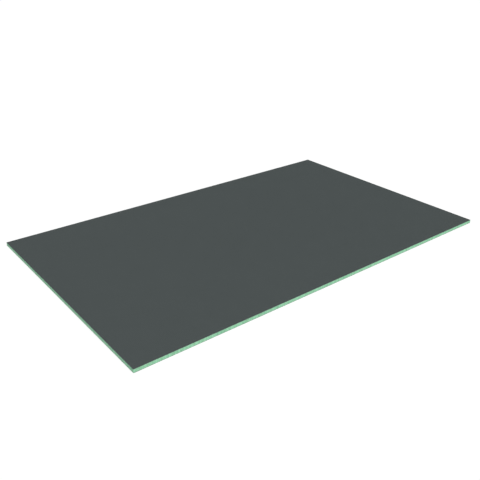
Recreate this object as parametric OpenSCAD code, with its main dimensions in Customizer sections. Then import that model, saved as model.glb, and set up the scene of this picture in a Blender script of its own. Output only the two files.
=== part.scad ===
// Foam tile backer board: an extruded foam core faced on both sides with a thin coat of
// polymer cement. The coats are bonded to the core and all three are sawn to size together,
// so their edges are flush.
//
// Frame: the origin is the centre of the underside, +X runs along the length, +Y across the
// width and +Z up through the thickness. All sizes are in millimetres.

/* [Board] */
// Length of the board
board_length = 1524; // [600:1:3000]
// Width of the board
board_width = 914.4; // [300:0.1:1250]
// Thickness over both coats
board_thickness = 12.7; // [6:0.1:80]

/* [Coats] */
// Thickness of the cement coat on each face
coat_thickness = 1.0; // [0.5:0.05:1.2]
// Width and drop of the eased arris round each coat's outer face
arris_ease = 0.3; // [0.1:0.05:0.4]

/* [Hidden] */

foam_green = "#91CCA6";
cement_grey = "#4C5252";

// The foam fills what the two coats leave of the thickness.
core_thickness = board_thickness - 2 * coat_thickness;
// How far each extruded section runs past the board before the other section trims it.
trim_overrun = 5;

// The core, sawn square on all four edges.
module foam_core() {
    color(foam_green)
        translate([0, 0, board_thickness / 2])
            cube([board_length, board_width, core_thickness], center = true);
}

// Cross-section of a coat over one span of the board: flat where it is bonded to the foam,
// at y = 0, with an eased arris at each end of its outer face.
module coat_section(span) {
    edge = span / 2;
    shoulder = coat_thickness - arris_ease;
    polygon([
        [-edge, 0],
        [edge, 0],
        [edge, shoulder],
        [edge - arris_ease, coat_thickness],
        [arris_ease - edge, coat_thickness],
        [-edge, shoulder]
    ]);
}

// One coat with its bonded face down at z = 0. One section runs along the board and the
// other across it. What they share has eased arrises on all four sides, mitred at the corners.
module coat() {
    color(cement_grey)
        intersection() {
            rotate([90, 0, 90])
                linear_extrude(board_length + 2 * trim_overrun, center = true)
                    coat_section(board_width);
            rotate([90, 0, 0])
                linear_extrude(board_width + 2 * trim_overrun, center = true)
                    coat_section(board_length);
        }
}

// The upper coat, bonded face down on the foam.
module top_facing() {
    translate([0, 0, board_thickness - coat_thickness])
        coat();
}

// The lower coat, turned over so that its bonded face is up against the foam.
module bottom_facing() {
    translate([0, 0, coat_thickness])
        mirror([0, 0, 1])
            coat();
}

foam_core();
top_facing();
bottom_facing();
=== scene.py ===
import math

import bpy
import numpy as np
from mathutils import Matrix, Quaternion, Vector


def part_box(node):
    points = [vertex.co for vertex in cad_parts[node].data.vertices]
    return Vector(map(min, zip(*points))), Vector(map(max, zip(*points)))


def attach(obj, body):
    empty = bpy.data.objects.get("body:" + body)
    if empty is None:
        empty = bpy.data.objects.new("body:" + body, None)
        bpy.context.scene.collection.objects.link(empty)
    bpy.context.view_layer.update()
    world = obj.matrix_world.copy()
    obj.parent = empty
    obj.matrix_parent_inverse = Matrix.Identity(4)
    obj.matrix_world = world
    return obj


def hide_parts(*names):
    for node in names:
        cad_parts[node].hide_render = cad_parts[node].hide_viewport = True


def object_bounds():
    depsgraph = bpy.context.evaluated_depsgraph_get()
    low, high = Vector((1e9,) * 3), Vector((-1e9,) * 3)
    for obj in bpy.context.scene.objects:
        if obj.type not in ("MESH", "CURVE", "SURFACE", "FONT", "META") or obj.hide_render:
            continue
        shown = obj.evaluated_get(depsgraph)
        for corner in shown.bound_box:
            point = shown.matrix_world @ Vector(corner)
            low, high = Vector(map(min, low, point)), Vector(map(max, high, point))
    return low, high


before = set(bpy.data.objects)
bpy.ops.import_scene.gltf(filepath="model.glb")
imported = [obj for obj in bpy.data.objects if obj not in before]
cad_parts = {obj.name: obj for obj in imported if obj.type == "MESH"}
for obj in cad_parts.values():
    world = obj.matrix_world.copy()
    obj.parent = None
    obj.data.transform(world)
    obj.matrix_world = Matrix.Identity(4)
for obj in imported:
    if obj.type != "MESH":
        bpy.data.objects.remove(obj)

cad_low, cad_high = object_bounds()

# ---------------------------------------------------------------------------------------------
# Foam core. It is a sheet of extruded polystyrene, dyed mint green and planed to thickness. The
# coats are bonded to both of its faces, and the saw that trims the finished board leaves fine
# upright tooth marks round its four edges.
# ---------------------------------------------------------------------------------------------
core_low, core_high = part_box("foam_core")
core_step = 0.0012  # between the points round the sawn edge
core_rings = 7  # points up the sawn edge
tooth_pitch = 0.0048  # from one mark of the saw's teeth to the next
tooth_lean = 0.0016  # how far a mark leans over the height of the edge
tooth_depth = 0.0001  # from a mark's top to its bottom
blade_wander = 0.00012  # slow drift of the blade
wander_length = 0.045  # from one turn of the drift to the next
torn_cells = 0.00005  # how deep the blade tears the cells open
corner_rub = 0.0004  # how far the upright corners are rubbed back
corner_reach = 0.003  # how far from the corner the rubbing starts
blade_seed = 5
tear_seed = 3
smooth_below = math.radians(30)  # faces that meet at a smaller angle are shaded as one surface

# The texture map is a unit square. A box on it is given as left, bottom, right and top. The sawn
# edge takes nearly all of the core's map, because the coats hide both flat sides.
edge_rows = 20  # rows that the sawn edge is cut into
row_gap = 0.1  # share of each row's height that is left free
edge_box = (0.002, 0.0, 0.998, 0.95)
hidden_under_box = (0.51, 0.955, 0.995, 0.995)
hidden_over_box = (0.005, 0.955, 0.49, 0.995)


def board_outline(low, high, step):
    """The board's outline seen from above, as points about step apart, with each point's way in,
    how far the corner's wear has rubbed it back, and its distance round the outline. A side is
    corner + t * (next corner - corner), with t running from 0 up to 1. Its way in is square to the
    side, and leans (1 - 2 * t) along it, so the outline can shrink and never folds at a corner.
    The wear is corner_rub * (1 - distance to the corner / corner_reach) squared."""
    corners = np.array([[low.x, low.y], [high.x, low.y], [high.x, high.y], [low.x, high.y]])
    points, inward, rubbed = [], [], []
    for start, end in zip(corners, np.roll(corners, -1, axis=0)):
        length = np.linalg.norm(end - start)
        along = (end - start) / length
        t = np.linspace(0, 1, round(length / step), endpoint=False)[:, None]
        points.append(start + t * length * along)
        inward.append([-along[1], along[0]] + (1 - 2 * t) * along)
        to_corner = length * np.minimum(t[:, 0], 1 - t[:, 0])
        rubbed.append(corner_rub * np.clip(1 - to_corner / corner_reach, 0, 1) ** 2)
    points, inward, rubbed = map(np.concatenate, (points, inward, rubbed))
    strides = np.linalg.norm(np.roll(points, -1, axis=0) - points, axis=1)
    return points, inward, rubbed, np.concatenate([[0], np.cumsum(strides)])


def drift(distance, length, seed):
    """Smooth chance numbers from 0 to 1 round a closed outline: a random value every length,
    with a half cosine wave from each to the next, and the last value is the first again."""
    knots = round(distance[-1] / length)
    values = np.random.default_rng(seed).random(knots)
    place = distance[:-1] / distance[-1] * knots
    knot = np.floor(place).astype(int) % knots
    share = (1 - np.cos(np.pi * (place % 1))) / 2
    return values[knot] * (1 - share) + values[(knot + 1) % knots] * share


def rimmed_slab(outline, inward, inset, height):
    """A closed slab, as its points and its walls, underside and top. Ring j of its rim is the
    outline moved in by inset[j] and set at height[j], and both have a value for each point of each
    ring. A fan of triangles from the middle of the lowest ring closes the underside, and one from
    the middle of the highest closes the top."""
    rings, around = inset.shape
    rim = np.concatenate([outline + inward * inset[..., None], height[..., None]], axis=2)
    middles = [rim[0].mean(axis=0), rim[-1].mean(axis=0)]
    here = np.arange(around)
    after = (here + 1) % around
    ring = np.arange(rings - 1)[:, None] * around
    walls = np.stack([ring + here, ring + after, ring + around + after, ring + around + here], 2)
    last = (rings - 1) * around
    under = np.stack([np.full(around, rings * around), after, here], 1)
    over = np.stack([np.full(around, rings * around + 1), last + here, last + after], 1)
    return np.concatenate([rim.reshape(-1, 3), middles]), walls, under, over


def in_box(places, box):
    """Places on a unit square, moved and stretched into a box on the texture map."""
    left, bottom, right, top = box
    return [left, bottom] + places * [right - left, top - bottom]


def from_above(points, low, high):
    """Where points lie on a unit square that the board fills, seen from above."""
    return (points[:, :2] - [low.x, low.y]) / [high.x - low.x, high.y - low.y]


def from_below(points, low, high):
    """The same seen from below, where left and right have changed places."""
    return from_above(points, low, high) * [-1, 1] + [1, 0]


def corners_of_boxes(left, low, right, high):
    """The corners of boxes, each box's one after the other, anticlockwise from its lower left."""
    left, low, right, high = np.broadcast_arrays(left, low, right, high)
    return np.stack([left, low, right, low, right, high, left, high], -1).reshape(-1, 2)


def rim_in_rows(walls, rows):
    """Where the corners of a rim's walls lie on a unit square. The rim is cut into that many
    rows, one above the other, with a gap between them. A corner lies at the share of its row that
    its point comes to, and at its ring's share of the row's height."""
    rings, around = walls.shape[:2]
    row_length = math.ceil(around / rows)
    row, point = np.divmod(np.arange(around), row_length)
    left = point / row_length
    ring_height = (1 - row_gap) / rings
    low = (row + row_gap / 2 + ring_height * np.arange(rings)[:, None]) / rows
    return corners_of_boxes(left, low, left + 1 / row_length, low + ring_height / rows)


def new_piece(name, points, faces, *materials):
    """Puts the points and faces into a mesh with those materials."""
    mesh = bpy.data.meshes.new(name)
    mesh.from_pydata(points, [], faces)
    mesh.shade_smooth()
    mesh.set_sharp_from_angle(angle=smooth_below)
    for material in materials:
        mesh.materials.append(material)
    piece = bpy.data.objects.new(name, mesh)
    bpy.context.scene.collection.objects.link(piece)
    return piece


def lay_on_map(piece, places):
    """Gives each corner of the piece's faces its place on the piece's texture map, through which its
    colours can be baked."""
    layer = piece.data.uv_layers.new(name="OFBake")
    layer.uv.foreach_set("vector", places.astype(np.float32).ravel())


def linear(hex_colour):
    """An sRGB colour such as #8FC7A3 as the linear red, green, blue and alpha of a shader."""
    srgb = np.array([int(hex_colour[i:i + 2], 16) for i in (1, 3, 5)]) / 255
    light = np.where(srgb <= 0.04045, srgb / 12.92, ((srgb + 0.055) / 1.055) ** 2.4)
    return (*light.tolist(), 1.0)


def new_material(name):
    """An empty material and its node tree."""
    material = bpy.data.materials.new(name)
    material.use_nodes = True
    material.node_tree.nodes.clear()
    return material, material.node_tree


def add(tree, kind, sockets=(), **settings):
    """Adds a shader node. Settings go on the node, and sockets gives its inputs, each by name or
    number: a link is made where the value is another node's output. A Mix node of colours has its
    two colours at inputs 6 and 7, and its result at output 2."""
    made = tree.nodes.new("ShaderNode" + kind)
    for name, value in settings.items():
        setattr(made, name, value)
    for name, value in dict(sockets).items():
        if isinstance(value, bpy.types.NodeSocket):
            tree.links.new(value, made.inputs[name])
        else:
            made.inputs[name].default_value = value
    return made


def sawn_extruded_polystyrene():
    """Extruded polystyrene, sawn. The cut tears the cells open, so the eye sees a matt, sugary
    green: blotched from place to place, scored from top to bottom, and paler where it is torn."""
    material, tree = new_material("sawn_extruded_polystyrene")
    place = add(tree, "TexCoord").outputs["Object"]

    # Blotches of 25 mm, bluer or yellower, where the dye has mixed a little less or more.
    blotch = add(tree, "TexNoise", {"Vector": place, "Scale": 1 / 0.025, "Detail": 2.0})
    green = add(tree, "Mix", {
        "Factor": blotch.outputs["Fac"], 6: linear("#76BA9C"), 7: linear("#8FBF90"),
    }, data_type="RGBA")

    # Scores of the saw, upright because the pattern is stretched through the thickness. Real
    # ones are under 1 mm apart, and they are drawn 5 mm apart so that they show.
    upright = add(tree, "Mapping", {"Vector": place, "Scale": (1.0, 1.0, 0.05)})
    score = add(tree, "TexNoise", {
        "Vector": upright.outputs["Vector"], "Scale": 1 / 0.005, "Detail": 1.0,
    })
    depth = add(tree, "MapRange", {
        "Value": score.outputs["Fac"], "From Min": 0.3, "From Max": 0.7,
    })
    scored = add(tree, "Mix", {
        "Factor": depth.outputs["Result"], 6: green.outputs[2], 7: linear("#99D7B0"),
    }, data_type="RGBA")

    # Flecks where the teeth tear whole cells out, and the light scatters. They are drawn out the
    # way that the teeth go. Real ones are about 0.5 mm wide, and they are drawn at 1.5 mm.
    downward = add(tree, "Mapping", {"Vector": place, "Scale": (1.0, 1.0, 0.4)})
    torn = add(tree, "TexNoise", {
        "Vector": downward.outputs["Vector"], "Scale": 1 / 0.0015, "Detail": 2.0,
    })
    fleck = add(tree, "MapRange", {
        "Value": torn.outputs["Fac"], "From Min": 0.5, "From Max": 0.75,
    })
    flecked = add(tree, "Mix", {
        "Factor": fleck.outputs["Result"], 6: scored.outputs[2], 7: linear("#B7E4C6"),
    }, data_type="RGBA")

    # Open cells, with painted shade in their hollows. Real ones are about 0.3 mm wide, and they are
    # drawn at 0.7 mm.
    cells = add(tree, "TexVoronoi", {"Vector": place, "Scale": 1 / 0.0007})
    painted_hollow_shade = add(tree, "MapRange", {
        "Value": cells.outputs["Distance"], "From Max": 0.8, "To Min": 0.9, "To Max": 1.06,
    })
    # The painted shade darkens the green towards each cell's hollow.
    celled = add(tree, "Mix", {
        "Factor": 1.0, 6: flecked.outputs[2], 7: painted_hollow_shade.outputs["Result"],
    }, data_type="RGBA", blend_type="MULTIPLY")
    pits = add(tree, "Bump", {
        "Height": cells.outputs["Distance"], "Strength": 0.5, "Distance": 0.0002,
    })
    foam = add(tree, "BsdfPrincipled", {
        "Base Color": celled.outputs[2], "Normal": pits.outputs["Normal"],
        "Roughness": 0.8, "IOR": 1.5, "Specular IOR Level": 0.2,
    })
    add(tree, "OutputMaterial", {"Surface": foam.outputs["BSDF"]})
    return material


outline, inward, rubbed, distance = board_outline(core_low, core_high, core_step)
rise = np.linspace(0, 1, core_rings)[:, None]
marks = (1 + np.cos(2 * np.pi * (distance[:-1] + tooth_lean * rise) / tooth_pitch)) / 2
tears = np.random.default_rng(tear_seed).random(marks.shape)
wander = drift(distance, wander_length, blade_seed)
core_inset = rubbed + tooth_depth * marks + blade_wander * wander + torn_cells * tears
core_height = np.broadcast_to(core_low.z + (core_high.z - core_low.z) * rise, core_inset.shape)
core_points, sawn_edge, under, over = rimmed_slab(outline, inward, core_inset, core_height)
core_faces = sawn_edge.reshape(-1, 4).tolist() + under.tolist() + over.tolist()
core = new_piece("green_foam_core", core_points, core_faces, sawn_extruded_polystyrene())

lay_on_map(core, np.concatenate([
    in_box(rim_in_rows(sawn_edge, edge_rows), edge_box),
    in_box(from_below(core_points[under.ravel()], core_low, core_high), hidden_under_box),
    in_box(from_above(core_points[over.ravel()], core_low, core_high), hidden_over_box),
]))
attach(core, "root")
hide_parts("foam_core")

# ---------------------------------------------------------------------------------------------
# Cement coats. Each face of the foam has a thin coat of polymer-modified cement, spread wet
# over a glass-fibre mesh and cured. The mesh prints through as low ridges 5 mm apart, and its
# cut yarns show in the sawn edge. The lower coat is the upper one turned over.
# ---------------------------------------------------------------------------------------------
facing_low, facing_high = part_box("top_facing")
coat_step = 0.002  # between the points round the coat's rim
arris_ease = 0.0003  # width and drop of the worn arris
ease_spread = 0.2  # share by which the arris is smaller or larger from place to place
arris_bend = 0.3  # share of the arris's width and drop at which it bends
arris_seed = 11
chip_size = 0.0007  # how much wider it is where the cement has chipped
chip_length = 0.006  # of a chip, along the arris
chipped_share = 0.25  # share of the arris that is chipped
chip_seed = 13
least_rim = 0.0001  # height of the rim that the deepest chip leaves
wear_width = 0.0015  # how far in from the arris the cement is rubbed pale
rim_wear = [0, 0.3, 0.5, 0.3, 0]  # how pale each ring of the rim is rubbed, from the foam outwards
yarn_spacing = 0.005
yarn_width = 0.0011
yarn_thickness = 0.0003
yarn_print = 0.0001  # how far a yarn stands out of the cement
yarn_stub = 0.00004  # how far the cement's sawn rim is worn back from the hard ends of the yarns
yarn_dip = 0.0004  # how far a yarn lies deeper at the sawn edge than inside it
yarn_dip_length = 0.003
yarn_stray = 0.0003  # how far a yarn may lie to either side of its place
yarn_sink = 0.00005  # how much deeper than the others a yarn may lie
cross_yarn_sink = 0.00002  # how much deeper all the yarns across the board lie
yarn_rub = 0.2  # how far the cement over a yarn is rubbed pale
yarn_sides = 8
long_yarn_seed = 17
cross_yarn_seed = 19

# The coat's outer face takes most of its texture map. The thin rim has rows of its own there, all
# the yarns share one strip, and all their cut ends one small patch.
rim_rows = 8
rim_box = (0.002, 0.845, 0.998, 0.965)
bonded_face_box = (0.06, 0.983, 0.998, 0.998)
outer_face_box = (0.002, 0.002, 0.998, 0.84)
yarn_box = (0.002, 0.967, 0.998, 0.979)
cut_end_box = (0.005, 0.983, 0.03, 0.998)


def yarns_along_x(half_length, half_span, face_level, seed):
    """Glass-fibre yarns that run along X, side by side across the board, each strayed and sunk a
    little by chance, as their points, sides, ends, and where the sides' corners lie on a unit
    square: the share of the yarn's length, and the share of the way round it. A yarn is an ellipse
    (width/2 * cos a, thickness/2 * sin a) carried along four stations: its two cut ends, which lie
    deeper, and a point a little way in from each. Each end is closed by one flat face. One yarn
    lies in the middle, and none has its place nearer to the board's side than half a spacing."""
    chance = np.random.default_rng(seed)
    stations = np.array([-half_length, yarn_dip_length - half_length,
                         half_length - yarn_dip_length, half_length])
    dips = np.array([yarn_dip, 0, 0, yarn_dip])
    each_side = int(half_span / yarn_spacing - 0.5)
    lanes = np.arange(-each_side, each_side + 1) * yarn_spacing
    lanes = lanes + yarn_stray * (2 * chance.random(len(lanes)) - 1)
    sinks = yarn_sink * chance.random(len(lanes))
    angle = np.arange(yarn_sides) * 2 * np.pi / yarn_sides
    points = np.empty((len(lanes), len(stations), yarn_sides, 3))
    points[..., 0] = stations[:, None]
    points[..., 1] = lanes[:, None, None] + yarn_width / 2 * np.cos(angle)
    points[..., 2] = face_level + yarn_thickness / 2 * (np.sin(angle) - 1) - dips[:, None]
    points[..., 2] -= sinks[:, None, None]

    corner = np.arange(yarn_sides)
    beside = (corner + 1) % yarn_sides
    ring = np.arange(len(stations) - 1)[:, None] * yarn_sides
    side = np.stack([ring + beside, ring + yarn_sides + beside,
                     ring + yarn_sides + corner, ring + corner], 2).reshape(-1, 4)
    yarn = np.arange(len(lanes))[:, None] * len(stations) * yarn_sides
    far_ends = yarn + (len(stations) - 1) * yarn_sides + corner
    near_ends = yarn + corner[::-1]

    share = (stations[:, None] / half_length + 1) / 2
    turn = 1 - corner / yarn_sides
    places = corners_of_boxes(share[:-1], turn - 1 / yarn_sides, share[1:], turn)
    return (points.reshape(-1, 3), (yarn[:, None] + side).reshape(-1, 4),
            np.concatenate([far_ends, near_ends]), np.tile(places, (len(lanes), 1)))


def polymer_cement():
    """Polymer-modified cement, spread with a blade along the board and cured. It gives the eye an
    even, dead matt dark grey, faintly clouded and streaked the way that the blade went, and paler
    where the arris is worn."""
    material, tree = new_material("polymer_cement")
    place = add(tree, "TexCoord").outputs["Object"]

    # Clouds of 90 mm, from cement that cured a little wetter or drier.
    cloud = add(tree, "TexNoise", {"Vector": place, "Scale": 1 / 0.09, "Detail": 3.0})
    grey = add(tree, "Mix", {
        "Factor": cloud.outputs["Fac"], 6: linear("#494F4F"), 7: linear("#4D5353"),
    }, data_type="RGBA")

    # Streaks 12 mm wide along the board, from the spreading blade.
    along = add(tree, "Mapping", {"Vector": place, "Scale": (0.06, 1.0, 1.0)})
    streak = add(tree, "TexNoise", {
        "Vector": along.outputs["Vector"], "Scale": 1 / 0.012, "Detail": 1.0,
    })
    streaked = add(tree, "Mix", {
        "Factor": streak.outputs["Fac"], 6: grey.outputs[2], 7: linear("#4B5151"),
    }, data_type="RGBA")

    # Cement rubbed pale on the arrises, as far as the mesh's wear attribute says.
    wear = add(tree, "Attribute", attribute_name="wear")
    worn = add(tree, "Mix", {
        "Factor": wear.outputs["Fac"], 6: streaked.outputs[2], 7: linear("#6B716F"),
    }, data_type="RGBA")

    # Sand in the cement, paler on top of each grain. Real grains are about 0.2 mm, and they are
    # drawn at 0.8 mm.
    grit = add(tree, "TexNoise", {"Vector": place, "Scale": 1 / 0.0008, "Detail": 2.0})
    speck = add(tree, "MapRange", {
        "Value": grit.outputs["Fac"], "From Min": 0.3, "From Max": 0.7, "To Min": 0.88, "To Max": 1.12,
    })
    sandy = add(tree, "Mix", {
        "Factor": 1.0, 6: worn.outputs[2], 7: speck.outputs["Result"],
    }, data_type="RGBA", blend_type="MULTIPLY")
    grain = add(tree, "Bump", {
        "Height": grit.outputs["Fac"], "Strength": 0.5, "Distance": 0.0002,
    })
    cement = add(tree, "BsdfPrincipled", {
        "Base Color": sandy.outputs[2], "Normal": grain.outputs["Normal"],
        "Roughness": 0.95, "IOR": 1.5, "Specular IOR Level": 0.0,
    })
    add(tree, "OutputMaterial", {"Surface": cement.outputs["BSDF"]})
    return material


def cut_glass_fibre():
    """Alkali-resistant glass-fibre yarn, sawn through. Its ends are off-white and a little glossy,
    and their brightness changes from strand to strand."""
    material, tree = new_material("cut_glass_fibre")
    place = add(tree, "TexCoord").outputs["Object"]
    strands = add(tree, "TexNoise", {"Vector": place, "Scale": 1 / 0.0003})
    white = add(tree, "Mix", {
        "Factor": strands.outputs["Fac"], 6: linear("#8E938C"), 7: linear("#C4C8BE"),
    }, data_type="RGBA")
    glass = add(tree, "BsdfPrincipled", {
        "Base Color": white.outputs[2], "Roughness": 0.45, "IOR": 1.56,
    })
    add(tree, "OutputMaterial", {"Surface": glass.outputs["BSDF"]})
    return material


outline, inward, rubbed, distance = board_outline(facing_low, facing_high, coat_step)
face_level = facing_high.z - yarn_print
uneven = 2 * drift(distance, 2 * coat_step, arris_seed) - 1
chips = np.maximum(1 - (1 - drift(distance, chip_length, chip_seed)) / chipped_share, 0)
ease = arris_ease * (1 + ease_spread * uneven) + chip_size * chips
level = np.ones_like(ease)

# The rim has five rings: on the foam, where the arris starts, where it bends, where it ends on
# the outer face, and where the pale wear ends.
rim_inset = np.stack([0 * level, 0 * level, arris_bend * ease, ease, ease + wear_width])
coat_inset = rubbed + yarn_stub + rim_inset
coat_height = np.stack([
    facing_low.z * level,
    np.maximum(face_level - ease, facing_low.z + least_rim),
    face_level - arris_bend * ease,
    face_level * level,
    face_level * level,
])
coat_points, rim, under, over = rimmed_slab(outline, inward, coat_inset, coat_height)
coat_wear = np.concatenate([np.repeat(rim_wear, len(ease)), [0, 0]])

# The yarns across the board are made as the long ones are, and then turned a quarter round.
long_points, long_sides, long_ends, long_places = yarns_along_x(
    facing_high.x, facing_high.y, facing_high.z, long_yarn_seed)
cross_points, cross_sides, cross_ends, cross_places = yarns_along_x(
    facing_high.y, facing_high.x, facing_high.z, cross_yarn_seed)
cross_points = cross_points[:, [1, 0, 2]] * [-1, 1, 1] - [0, 0, cross_yarn_sink]

upper_points = np.concatenate([coat_points, long_points, cross_points])
first_cross = len(coat_points) + len(long_points)
yarn_faces = np.concatenate([long_sides + len(coat_points), cross_sides + first_cross])
cut_ends = np.concatenate([long_ends + len(coat_points), cross_ends + first_cross])
upper_faces = (rim.reshape(-1, 4).tolist() + under.tolist() + over.tolist()
               + yarn_faces.tolist() + cut_ends.tolist())

around_yarn = np.arange(yarn_sides) * 2 * np.pi / yarn_sides
cut_end = np.stack([np.cos(around_yarn), np.sin(around_yarn)], 1) / 2 + 0.5
map_places = np.concatenate([
    in_box(rim_in_rows(rim, rim_rows), rim_box),
    in_box(from_below(coat_points[under.ravel()], facing_low, facing_high), bonded_face_box),
    in_box(from_above(coat_points[over.ravel()], facing_low, facing_high), outer_face_box),
    in_box(np.concatenate([long_places, cross_places]), yarn_box),
    in_box(np.tile(cut_end, (len(cut_ends), 1)), cut_end_box),
])
yarn_wear = yarn_rub * np.maximum(np.sin(around_yarn), 0) ** 2  # only on the yarn's upper half
yarn_rings = (len(long_points) + len(cross_points)) // yarn_sides
wear = np.concatenate([coat_wear, np.tile(yarn_wear, yarn_rings)]).astype(np.float32)
cement, glass = polymer_cement(), cut_glass_fibre()

turned_over = upper_points * [1, -1, -1] + [0, 0, cad_low.z + cad_high.z]
for name, node, points in (
    ("upper_cement_coat", "top_facing", upper_points),
    ("lower_cement_coat", "bottom_facing", turned_over),
):
    coat = new_piece(name, points, upper_faces, cement, glass)
    lay_on_map(coat, map_places)
    face_materials = np.zeros(len(upper_faces), np.int32)
    face_materials[-len(cut_ends):] = 1  # the glass, after the cement
    coat.data.polygons.foreach_set("material_index", face_materials)
    coat.data.attributes.new("wear", "FLOAT", "POINT").data.foreach_set("value", wear)
    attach(coat, "root")
    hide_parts(node)

# ---------------------------------------------------------------------------------------------
# Studio. The board lies on a plain white floor under an even white sky, with one wide soft lamp
# in front of its long side and a little to the right. The floor keeps the board's soft shadow.
# ---------------------------------------------------------------------------------------------
floor_half = 30.0  # half the floor's side
sky_strength = 0.5
lamp_strength = 1.83
lamp_height = math.radians(59)  # above the horizon
lamp_turn = math.radians(5)  # from straight in front of the long side towards its right end
lamp_spread = math.radians(25)  # how wide the lamp looks from the board
floor_glow = 0.8  # share of the floor's white that the camera sees without shadow


def direction(turn, height):
    """The unit vector that points from the board at something that is turned that far from
    straight in front of the long side, and that high above the horizon:
    (sin turn * cos height, -cos turn * cos height, sin height)."""
    level = math.cos(height)
    return Vector((math.sin(turn) * level, -math.cos(turn) * level, math.sin(height)))


def seen_by_lens(tree):
    """1 for the rays that make the picture's background: straight from the lens, or by way of
    something glossy or clear."""
    path = add(tree, "LightPath")
    mirrored = add(tree, "Math", {
        0: path.outputs["Is Camera Ray"], 1: path.outputs["Is Glossy Ray"],
    }, operation="MAXIMUM")
    return add(tree, "Math", {
        0: mirrored.outputs[0], 1: path.outputs["Is Transmission Ray"],
    }, operation="MAXIMUM").outputs[0]


def white_floor():
    """Matt white paint. The lens sees part of it as a plain white glow, so the background is white
    and the board's shadow on it stays light."""
    material, tree = new_material("matt_white_floor")
    lit = add(tree, "BsdfDiffuse", {"Color": linear("#E7E7E7")})
    shaded = add(tree, "BsdfDiffuse", {"Color": linear("#818181")})
    glow = add(tree, "Emission", {"Strength": floor_glow})
    pictured = add(tree, "AddShader", {0: shaded.outputs[0], 1: glow.outputs[0]})
    both = add(tree, "MixShader", {
        0: seen_by_lens(tree), 1: lit.outputs[0], 2: pictured.outputs[0],
    })
    add(tree, "OutputMaterial", {"Surface": both.outputs[0]})
    return material


floor_points = [(x * floor_half, y * floor_half, cad_low.z)
                for x, y in ((-1, -1), (1, -1), (1, 1), (-1, 1))]
floor = new_piece("studio_floor", floor_points, [(0, 1, 2, 3)], white_floor())

sky = bpy.data.worlds.new("white_sky")
sky.use_nodes = True
sky.node_tree.nodes.clear()
pictured_sky = add(sky.node_tree, "Background", {"Strength": 1.0})
lighting_sky = add(sky.node_tree, "Background", {"Strength": sky_strength})
for background in (pictured_sky, lighting_sky):
    background.inputs["Color"].default_value = linear("#FFFFFF")
whole_sky = add(sky.node_tree, "MixShader", {
    0: seen_by_lens(sky.node_tree), 1: lighting_sky.outputs[0], 2: pictured_sky.outputs[0],
})
add(sky.node_tree, "OutputWorld", {"Surface": whole_sky.outputs[0]})
bpy.context.scene.world = sky

lamp_data = bpy.data.lights.new("soft_front_lamp", "SUN")
lamp_data.energy = lamp_strength
lamp_data.angle = lamp_spread
lamp = bpy.data.objects.new("soft_front_lamp", lamp_data)
lamp.rotation_mode = "QUATERNION"
lamp.rotation_quaternion = direction(lamp_turn, lamp_height).to_track_quat("Z", "Y")
bpy.context.scene.collection.objects.link(lamp)

# ---------------------------------------------------------------------------------------------
# Camera. It stands off the board's near left corner and looks down on the upper face, at a point
# some way left of the board's middle and a little in front of it.
# ---------------------------------------------------------------------------------------------
view_turn = math.radians(-38.316)  # from looking straight at the long side
view_height = math.radians(26.472)  # above the horizon
view_lean = math.radians(0.428)  # how far the camera leans over to its left
view_distance = 2.2333
aim = Vector((-0.0996, -0.0247, cad_high.z))

camera_data = bpy.data.cameras.new("camera")
camera_data.lens = 45.595
camera_data.sensor_width = 36.0
camera_data.shift_x = 0.0165
camera_data.clip_end = 100.0
camera = bpy.data.objects.new("camera", camera_data)
away = direction(view_turn, view_height)
camera.location = aim + away * view_distance
camera.rotation_mode = "QUATERNION"
camera.rotation_quaternion = away.to_track_quat("Z", "Y") @ Quaternion((0, 0, 1), view_lean)
bpy.context.scene.collection.objects.link(camera)
bpy.context.scene.camera = camera

bpy.context.scene.view_settings.view_transform = "Standard"
